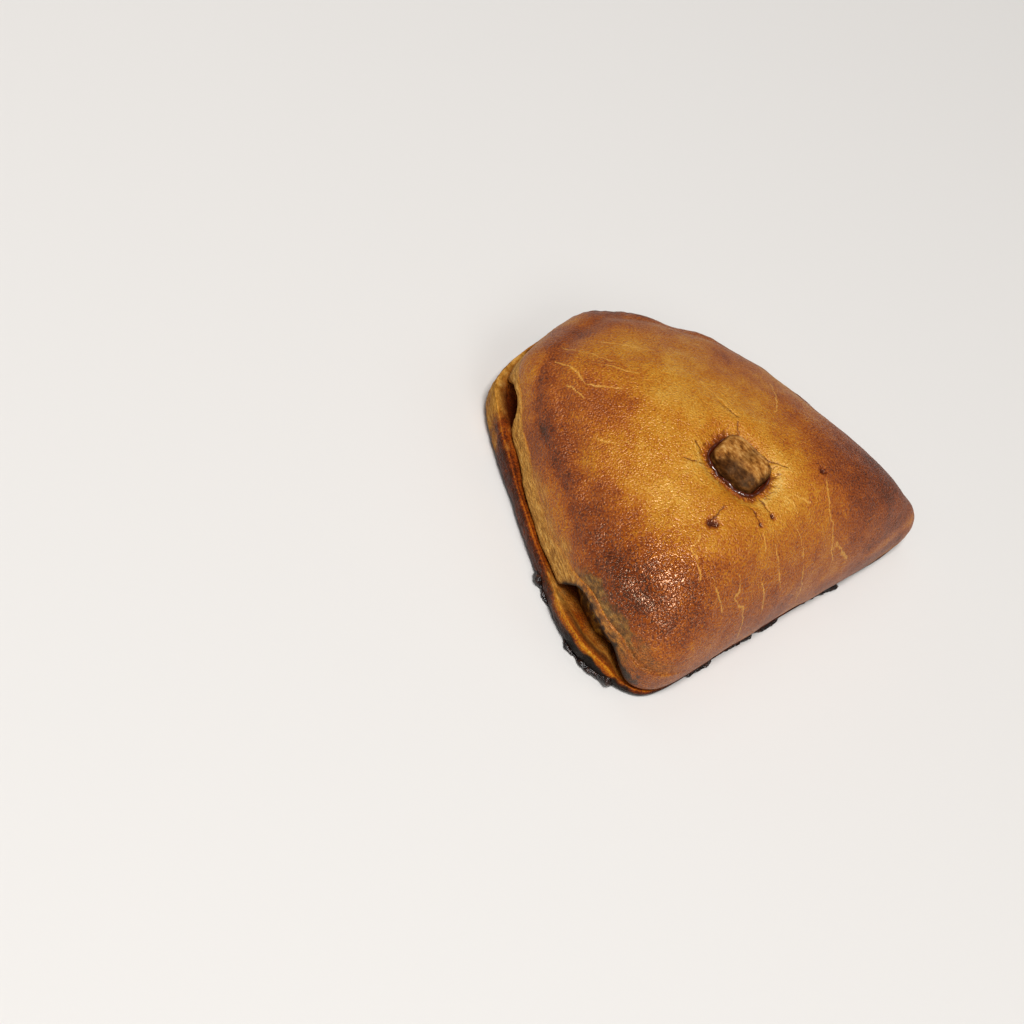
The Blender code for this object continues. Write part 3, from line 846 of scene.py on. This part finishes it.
lower_rows = bottom_rows(angles)
lower = placed(angles[None], lower_rows[..., 0], 0, lower_rows[..., 1])
inward = np.linspace(1, 0.03, 16)[1:, None]
lower = np.concatenate([lower, placed(angles[None], lower_rows[-1:, :, 0] * inward, 0, 0.0 * inward)])
lower_row = np.broadcast_to((np.arange(len(lower)) / LOWER_STEPS)[:, None], lower.shape[:2])
lower_angle = np.broadcast_to(angles[None], lower.shape[:2])
lower_seam = station(lower_angle, SEAM)
lower_slit, lower_pocket = np.clip(parted(lower_angle, SLIT) / 5, 0, 1), parted(lower_angle, POCKET) / 5
on_wall = eased((lower_row - 4.0) / 0.8) * eased((9.6 - lower_row) / 1.2)
inside = eased((4.0 - lower_row) / 0.9)
bumps = 0.32 * soft_noise(lower, 6, 61) + 0.18 * soft_noise(lower * (1, 1, 2), 2.3, 62)
bumps = bumps + 0.07 * soft_noise(lower, 1.1, 63)
lower = lower + facings(lower) * (bumps * (on_wall + inside) * lower_seam)[..., None]
lower[..., 2] = np.maximum(lower[..., 2], 0)

# a dark maroon band below an orange ridge, its dark partly painted shadow; olive and unglazed round the pocket,
# black at the slit and the tray
lower_bake_and_shadow = 0.92 + 0.05 * soft_noise(lower * (1, 1, 0.3), 5, 64) + 0.05 * soft_noise(lower, 2.2, 65)
lower_bake_and_shadow -= 0.36 * bell(lower_row - 4.6, 0.6 + 0.7 * lower_slit)
lower_bake_and_shadow -= 0.22 * lower_slit * on_wall * eased((lower[..., 2] - 2.6) / 1.5)
lower_degrees = np.degrees(lower_angle)
wavy = lower_degrees + soft_noises(lower, (7, 4.5, 74), (3, 1.6, 75))
around_pocket = within(wavy, 82, 127, 18, 12)
lower_bake_and_shadow -= 0.36 * around_pocket * on_wall
lower_bake_and_shadow = np.where(lower_row < 4, lower_bake_and_shadow - 0.25 * inside * (1 - lower_pocket), lower_bake_and_shadow)
ledge = within(lower_degrees, 172, 191, 6, 7) * bell(lower_row - 3.6, 1.3)
under = eased((lower_row - 10.2) / 1.5)
base_bake = 0.60 + soft_noises(lower, (0.10, 10, 66), (0.08, 2.5, 67))
lower_bake_and_shadow = lower_bake_and_shadow * (1 - under) + under * base_bake
scorch = 0.9 * eased((2.4 - lower[..., 2]) / 2.2) * (1 - under)
scorch = scorch * eased(0.45 + 0.8 * soft_noise(lower, 3.5, 68))
scorched_to = 3.6 + 2.4 * lower_slit + 1.5 * soft_noise(lower, 3.0, 69)
scorch += 1.2 * spot(lower, -66, -36, 24) * on_wall * eased((scorched_to - lower[..., 2]) / 1.4)
# inside the slit the juice ran in streaks drawn out along the layer
drawn_out = np.stack([lower_degrees * 0.22, 1.3 * lower[..., 2], lower_row], -1)
behind_ridge = bell(lower_row - 3.25, 0.45) * eased(0.9 + 1.2 * soft_noise(drawn_out, 1.4, 71))
far_in = inside * eased((1.7 - lower_row) / 0.9 + 0.9 * soft_noise(drawn_out, 1.1, 70))
scorch += lower_slit * (0.75 * behind_ridge + 0.95 * far_in)
unglazed = around_pocket * (on_wall + bell(lower_row - 4, 1)) * (1 - 0.6 * lower_pocket * inside)
floured = lower_slit * bell(lower_row - 2.3, 0.8) * eased(0.9 + 1.2 * soft_noise(drawn_out, 1.7, 72))
lower_masks = {
    "bake_and_painted_light": np.clip(lower_bake_and_shadow, 0, 1),
    "bare": np.clip(0.9 * unglazed + 0.8 * ledge + 0.75 * floured, 0, 1),
    "char": np.clip(scorch, 0, 1),
    "juice": np.clip(0.15 * lower_slit * inside + 0.5 * lower_pocket * inside, 0, 1),
}
# the marks that only the top layer has, set so that none of them shows here
NOT_HERE = {
    "knee": 0.0,
    "pale_side": 9.0,
    "pale_near": 0.0,
    "dark_side": 9.0,
    "dark_near": 0.0,
    "gloss": 0.02,
    "hole_gap": 99.0,
    "round_x": 0.0,
    "round_y": 0.0,
}
lower_masks |= {key: np.full(lower_bake_and_shadow.shape, value) for key, value in NOT_HERE.items()}
bottom_layer = closed_sheet("bottom_layer", lower, lower_masks, (*MIDDLE, 5.0), (*MIDDLE, 0.0))
bottom_layer.data.materials.append(crust("browned bottom crust", 0.8, 0.42, 0.12))
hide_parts("pastry_case")
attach(bottom_layer, "root")

# The juice round the cube: a bead of dark red meat juice that boiled up between the cube and the crust, and set
# there, lumpy and glassy, against the rolled-in edge of the hole.
BEAD_STEPS, BEAD_SIDES = 480, 14
bead_turn = np.linspace(0, 2 * np.pi, BEAD_STEPS, endpoint=False)[:, None]
bead_round = np.linspace(0, 2 * np.pi, BEAD_SIDES, endpoint=False)[None]
# the bead follows the hole's rounded rectangle: both reciprocal legs by the power that makes it square
across_hole = (np.abs(np.cos(bead_turn)) / HOLE_HALF[0]) ** HOLE_SQUARENESS
along_hole = (np.abs(np.sin(bead_turn)) / HOLE_HALF[1]) ** HOLE_SQUARENESS
to_rim = (across_hole + along_hole) ** (-1 / HOLE_SQUARENESS)
walk = np.concatenate([np.cos(bead_turn), np.sin(bead_turn), 0 * bead_turn], -1) * to_rim
thickness = 0.60 + soft_noises(walk, (0.20, 2.6, 96), (0.12, 1.1, 97))[:, None]
from_centre = to_rim * 0.97 + thickness * np.cos(bead_round)
bead = np.stack([from_centre * np.cos(bead_turn), from_centre * np.sin(bead_turn)], -1)
bead = turned_back(bead, -HOLE_TURN) + HOLE_AT
# it lies at the height of the nearest points of the rim, evened out along it
from_hole = skin[..., :2] - HOLE_AT
beside_hole = np.hypot(from_hole[..., 0], from_hole[..., 1]) < 13
rim_points = skin[np.concatenate([on_top, np.zeros((len(lining), COLUMNS), bool)]) & beside_hole]
nearest = []
for part in np.split(bead.mean(1), 8):
    away = np.linalg.norm(rim_points[None, :, :2] - part[:, None], axis=-1)
    nearest.append(away.argmin(1))
bead_high = rim_points[np.concatenate(nearest), 2]
evened = range(-6, 7)
bead_high = sum(np.roll(bead_high, shift) for shift in evened) / len(evened)
bead = np.concatenate([bead, (bead_high[:, None] + 0.45 + thickness * np.sin(bead_round))[..., None]], -1)
index = np.arange(BEAD_STEPS * BEAD_SIDES).reshape(BEAD_STEPS, BEAD_SIDES)
ahead, over = np.roll(index, -1, 0), np.roll(index, -1, 1)
bead_faces = np.stack([index, ahead, np.roll(ahead, -1, 1), over], -1).reshape(-1, 4)
juice_bead = new_piece("juice_bead", bead.reshape(-1, 3), bead_faces.tolist())

glassy_juice, tree, shader = new_material("set meat juice")
shader.inputs["Base Color"].default_value = (0.065, 0.009, 0.002, 1)
shader.inputs["Roughness"].default_value = 0.07
shader.inputs["Specular IOR Level"].default_value = 0.9
place = node(tree, "ShaderNodeTexCoord").outputs["Object"]
beady = noise(tree, place, 700.0, 0.0)
bumpy = node(tree, "ShaderNodeBump", in_Strength=0.6, in_Distance=0.0005, in_Height=beady)
tree.links.new(bumpy.outputs[0], shader.inputs["Normal"])
juice_bead.data.materials.append(glassy_juice)
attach(juice_bead, "root")

# The filling: minced meat stewed with onion, packed between the layers. It shows deep in the slit, where its
# juice has cooked on in dark streaks over olive and orange-brown shreds.
FILL_BASE, FILL_TOP = 5.4, HEIGHT - 7.4
fill_angles = np.radians(np.linspace(STATIONS[0, 0], STATIONS[-1, 0], 260, endpoint=False))
fill_share = np.sin(0.5 * np.pi * np.linspace(0.02, 1, 60))[:, None]
# it keeps this far inside the edge: more at the seam, less behind the slit
inside_edge = 7 + 4 * station(fill_angles, SEAM) - 4.5 * bell(fill_angles - np.radians(195.5), 0.35)
fill_edge = outline(fill_angles) - inside_edge - 0.4
fill_lip = np.maximum(6.9, station(fill_angles, LIP) - 3.4)
crown = fill_lip + (FILL_TOP - fill_lip) * (1 - fill_share**FALL) ** FULLNESS
heap = placed(fill_angles[None], fill_edge * fill_share, 1 - fill_share**2, crown)
wall_rows = [
    placed(fill_angles, fill_edge - deep, 0, FILL_BASE + high * (fill_lip - FILL_BASE))
    for deep, high in ((0.1, 0.8), (0.2, 0.6), (0.35, 0.4), (0.8, 0.2), (3.0, 0.0), (20.0, 0.0))
]
heap = np.concatenate([heap, np.stack(wall_rows)])
lumps = 0.9 * np.abs(soft_noise(heap, 3.6, 81)) + 0.35 * soft_noise(heap, 1.4, 82)
heap = heap - facings(heap) * (0.2 + lumps)[..., None] * (heap[..., 2] > 5.5)[..., None]
meat_filling = closed_sheet("filling_mince", heap, {}, (*(MIDDLE + CREST), HEIGHT - 8), (*MIDDLE, FILL_BASE))

mince, tree, shader = new_material("cooked mince")
place = node(tree, "ShaderNodeTexCoord").outputs["Object"]
patches = noise(tree, place, 330.0, 5.0, 0.65)
colour = ramp(
    tree,
    patches,
    (
        (0.40, (0.010, 0.006, 0.004)),
        (0.48, (0.060, 0.022, 0.004)),
        (0.55, (0.20, 0.085, 0.010)),
        (0.62, (0.34, 0.19, 0.022)),
        (0.78, (0.16, 0.055, 0.010)),
    ),
)
tree.links.new(colour, shader.inputs["Base Color"])
lumpy = node(tree, "ShaderNodeBump", in_Strength=0.7, in_Distance=0.0008, in_Height=patches)
tree.links.new(lumpy.outputs[0], shader.inputs["Normal"])
shader.inputs["Roughness"].default_value = 0.35
meat_filling.data.materials.append(mince)
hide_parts("meat_filling")
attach(meat_filling, "root")

# The cube of meat: a dice of roast meat pushed through the top layer before baking, to mark what is inside.
# Its top dried to a mottled tan, and its sides are dark with juice and run with the meat's fibres. The top's
# lighter colours are partly painted light and the sides' darker ones partly painted shade.
CUBE_SIZE = np.array([14.4, 17.2, 8.8])
CUBE_AT = np.array([-6.46, -19.22, 42.6])
CUBE_SQUARENESS = 4.6
# a rounded box: rays all round, each as long as makes the sum of its coordinates' high powers 1
polar = np.linspace(0.03, np.pi - 0.03, 90)[:, None]
round_about = np.linspace(0, 2 * np.pi, 200, endpoint=False)[None]
outward = np.sin(polar)
ray = np.broadcast_arrays(outward * np.cos(round_about), outward * np.sin(round_about), np.cos(polar))
ray = np.stack(ray, -1)
ray_length = (np.abs(ray) ** CUBE_SQUARENESS).sum(-1, keepdims=True) ** (-1 / CUBE_SQUARENESS)
dice = ray * ray_length * CUBE_SIZE / 2 * (1.03, 1.02, 1.0)
strands = soft_noise(dice * (1.5, 0.3, 1.2), 1.0, 91)
dents = soft_noises(dice, (0.45, 4.8, 92), (0.22, 1.9, 93)) + 0.11 * strands
dice = dice + ray * dents[..., None] * (1, 1, 0.8) - ray * 0.25
dice[..., 2] = np.minimum(dice[..., 2], 4.4)
# its left side was cut at a slant and sank in, so a broad face leads up to the top, dark as the sides are,
# with juice and painted shade
slant = eased((-0.6 - dice[..., 0]) / 6.6) * eased((7.0 - dice[..., 1]) / 7) * eased((dice[..., 2] + 1.0) / 3)
dice[..., 2] -= 2.9 * slant
height_share = dice[..., 2] / CUBE_SIZE[2] + 0.5
dice = np.concatenate([turned_back(dice, -HOLE_TURN), dice[..., 2:]], -1) + CUBE_AT
# how far each place takes the top's lighter colours: the dried top, partly painted light
dry_and_lit = eased((height_share - 0.72) / 0.20) * eased(0.85 + 0.5 * soft_noise(dice, 3.2, 94))
dry_and_lit = dry_and_lit * eased(1 - 2.2 * slant)
ends = [(*CUBE_AT[:2], dice[0, :, 2].mean()), (*CUBE_AT[:2], dice[-1, :, 2].mean())]
cube_piece = closed_sheet("roast_cube", dice, {"dry_and_lit": np.clip(dry_and_lit, 0, 1)}, *ends)

roast, tree, shader = new_material("roast meat cube")
place = node(tree, "ShaderNodeTexCoord").outputs["Object"]
strands = noise(tree, drawn_by(tree, place, (1.0, 0.45, 1.0)), 1000.0, 3.0, 0.6)
patches = noise(tree, place, 380.0, 5.0, 0.7)
mixed = plus(tree, times(tree, strands, 0.5), times(tree, patches, 0.5))
# colours of the dried top, partly painted light, and of the sides, wet with juice and partly painted shade,
# each from its hollows to its fibres
DRIED_AND_LIT = (
    (0.38, (0.095, 0.030, 0.006)),
    (0.46, (0.25, 0.090, 0.016)),
    (0.54, (0.42, 0.185, 0.040)),
    (0.66, (0.64, 0.36, 0.12)),
)
WET_AND_SHADED = ((0.40, (0.022, 0.007, 0.002)), (0.54, (0.070, 0.023, 0.005)), (0.68, (0.20, 0.080, 0.015)))
colour = blend(tree, mask_named(tree, "dry_and_lit"), ramp(tree, mixed, WET_AND_SHADED), ramp(tree, mixed, DRIED_AND_LIT))
tree.links.new(colour, shader.inputs["Base Color"])
rough = plus(tree, 0.36, times(tree, mask_named(tree, "dry_and_lit"), 0.10))
tree.links.new(rough, shader.inputs["Roughness"])
shader.inputs["Specular IOR Level"].default_value = 0.14
shader.inputs["Specular Tint"].default_value = (1.0, 0.62, 0.32, 1)
fibrous = node(tree, "ShaderNodeBump", in_Strength=0.8, in_Distance=0.0006, in_Height=mixed)
tree.links.new(fibrous.outputs[0], shader.inputs["Normal"])
cube_piece.data.materials.append(roast)
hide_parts("meat_cube")
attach(cube_piece, "root")

# Burnt juice: what boiled out of the slit and from under the fold set on the tray as a black, glassy crust,
# which came away with the turnover and clings along the foot of its sides.
OFF_FLOOR = 0.02


def burnt_crust(name, start, end, rise, spread, shelf, seed):
    """A lumpy strip along the foot from one angle to another.

    Its profile is a half-round, a sine in and out by a height that falls evenly. Its size swells and shrinks
    along the strip with soft noise, and tapers at both ends. Small knobs stand on it.
    """
    steps, sides = 420, 15
    along = np.radians(np.linspace(start, end, steps))[None]
    around = np.linspace(0, 1, sides)[:, None]
    run = np.broadcast_to(along, (sides, steps))
    trace = placed(run, outline(run), 0, 0)
    taper = within(np.degrees(run), start, end, 5, 9)
    swell = 0.62 + soft_noises(trace, (0.55, 4.0, seed), (0.30, 2.0, seed + 1))
    swell = np.clip(swell, 0.22, 1.4) * taper
    tall = 0.15 + rise * np.clip(0.6 + 0.6 * soft_noise(trace, 6.0, seed + 2), 0.1, 1.2) * swell
    bulge = np.sin(np.pi * around)
    proud = (spread * swell + shelf * taper) * bulge - 0.9 * bulge * (swell < 0.02)
    high = tall * (1 - around) + OFF_FLOOR
    seam = station(run, SEAM)
    base = station(run, BASE_INSET)
    wall = (0.2 + (base - 0.4) * np.clip(1 - high / 3.2, 0, 1) ** 1.6) * seam
    wall = wall + (0.1 + 4.6 * np.clip(1 - high / 5.5, 0, 1) ** 1.7) * (1 - seam)
    grid = placed(run, outline(run) - wall + proud - 0.35, 0, high)
    knobs = 0.22 * np.abs(soft_noise(grid, 0.9, seed + 3)) + 0.16 * soft_noise(grid, 0.45, seed + 4)
    out = placed(run, 1.0, 0, 0) - placed(run, 0.0, 0, 0)
    grid = grid + out * (knobs * np.clip(swell * 2, 0, 1) * bulge)[..., None]
    grid[..., 2] = np.maximum(grid[..., 2], OFF_FLOOR)
    back = placed(run[:1], outline(run[:1]) - wall[:1] - 2.2, 0, 0.5 * tall[:1] + OFF_FLOOR)
    loop = np.concatenate([grid, back])
    rows, columns = loop.shape[:2]
    index = np.arange(rows * columns).reshape(rows, columns)
    below = np.roll(index, -1, 0)
    faces = np.stack([index[:, :-1], below[:, :-1], below[:, 1:], index[:, 1:]], -1).reshape(-1, 4).tolist()
    faces += [index[:, 0].tolist()[::-1], index[:, -1].tolist()]
    return new_piece(name, loop.reshape(-1, 3), faces)


burnt, tree, shader = new_material("burnt juice")
place = node(tree, "ShaderNodeTexCoord").outputs["Object"]
crusty = noise(tree, place, 800.0, 4.0, 0.6)
CHARRED = ((0.45, (0.006, 0.004, 0.004)), (0.62, (0.030, 0.010, 0.005)), (0.75, (0.10, 0.030, 0.010)))
tree.links.new(ramp(tree, crusty, CHARRED), shader.inputs["Base Color"])
glassy = node(tree, "ShaderNodeBump", in_Strength=0.9, in_Distance=0.0007, in_Height=crusty)
tree.links.new(glassy.outputs[0], shader.inputs["Normal"])
shader.inputs["Roughness"].default_value = 0.17
# each strip by its first and last angle, its height, how far it stands out, its flat shelf and its noise
for name, start, end, rise, spread, shelf, seed in (
    ("burnt_juice_slit", 168, 216, 3.8, 2.1, 0.3, 101),
    ("burnt_juice_left", 141, 167, 2.0, 1.0, 0.0, 111),
    ("burnt_juice_front", 226, 289, 1.9, 0.9, 2.5, 121),
    ("burnt_juice_right", 290, 318, 2.1, 1.3, 2.2, 131),
):
    burnt_piece = burnt_crust(name, start, end, rise, spread, shelf, seed)
    burnt_piece.data.materials.append(burnt)
    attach(burnt_piece, "root")

# The plain pale floor, the soft studio light and the camera. The camera looks down on the lying turnover from
# above its left end, turned so that the fold runs up to the right.
RIGHT = np.array([0.6201, -0.6544, 0.4329])
UP = np.array([0.3696, 0.7304, 0.5745])
BACK = np.array([-0.6921, -0.1962, 0.6947])
# the point that the camera is set by, its place in the picture and the scale there; then the picture's and
# the sensor's widths, in pixels and mm, and the camera's distance in mm
AIM = np.array([MIDDLE[0] + 4.0, MIDDLE[1] + 3.0, 20.0])
AIM_PIXELS = (693.5, 477.1)
PIXELS_PER_MM = 3.26
PICTURE = 1024
SENSOR = 36
DISTANCE = 872.0

floor_mesh = bpy.data.meshes.new("floor")
floor_mesh.from_pydata([(-3, -3, 0), (3, -3, 0), (3, 3, 0), (-3, 3, 0)], [], [(0, 1, 2, 3)])
floor = bpy.data.objects.new("floor", floor_mesh)
bpy.context.scene.collection.objects.link(floor)
pale, tree, shader = new_material("pale floor")
shader.inputs["Base Color"].default_value = (0.70, 0.685, 0.67, 1)
shader.inputs["Roughness"].default_value = 0.9
floor_mesh.materials.append(pale)


def soft_light(name, azimuth, elevation, watts, width=1.2):
    """A square soft light of this width in metres, 2.4 m off in this direction and aimed at the food."""
    light = bpy.data.lights.new(name, "AREA")
    light.energy = watts
    light.size = width
    light.color = (1.0, 0.985, 0.965)
    lamp = bpy.data.objects.new(name, light)
    a, e = np.radians(azimuth), np.radians(elevation)
    direction = Vector((np.cos(a) * np.cos(e), np.sin(a) * np.cos(e), np.sin(e)))
    lamp.location = Vector(AIM * 0.001) + direction * 2.4
    lamp.rotation_euler = direction.to_track_quat("Z", "Y").to_euler()
    bpy.context.scene.collection.objects.link(lamp)


soft_light("overhead", 200, 67, 54.0, 0.70)
soft_light("front left", 238, 42, 11.0, 1.0)
soft_light("left", 180, 48, 5.0)
soft_light("front right", 310, 45, 5.0)
soft_light("low behind", 90, 18, 1.0)
soft_light("behind", 70, 60, 3.5)
world = bpy.data.worlds.new("studio")
world.use_nodes = True
world.node_tree.nodes["Background"].inputs["Color"].default_value = (1.0, 0.98, 0.96, 1)
world.node_tree.nodes["Background"].inputs["Strength"].default_value = 0.075
bpy.context.scene.world = world
bpy.context.scene.view_settings.view_transform = "Standard"

camera_data = bpy.data.cameras.new("camera")
camera_data.sensor_width = SENSOR
camera_data.lens = PIXELS_PER_MM * DISTANCE * SENSOR / PICTURE
camera_data.shift_x = -(AIM_PIXELS[0] - PICTURE / 2) / PICTURE
camera_data.shift_y = (AIM_PIXELS[1] - PICTURE / 2) / PICTURE
camera_data.clip_start = 0.05
camera = bpy.data.objects.new("camera", camera_data)
stand = Matrix.Translation(Vector((AIM + BACK * DISTANCE) * 0.001))
camera.matrix_world = stand @ Matrix((RIGHT, UP, BACK)).transposed().to_4x4()
bpy.context.scene.collection.objects.link(camera)
bpy.context.scene.camera = camera
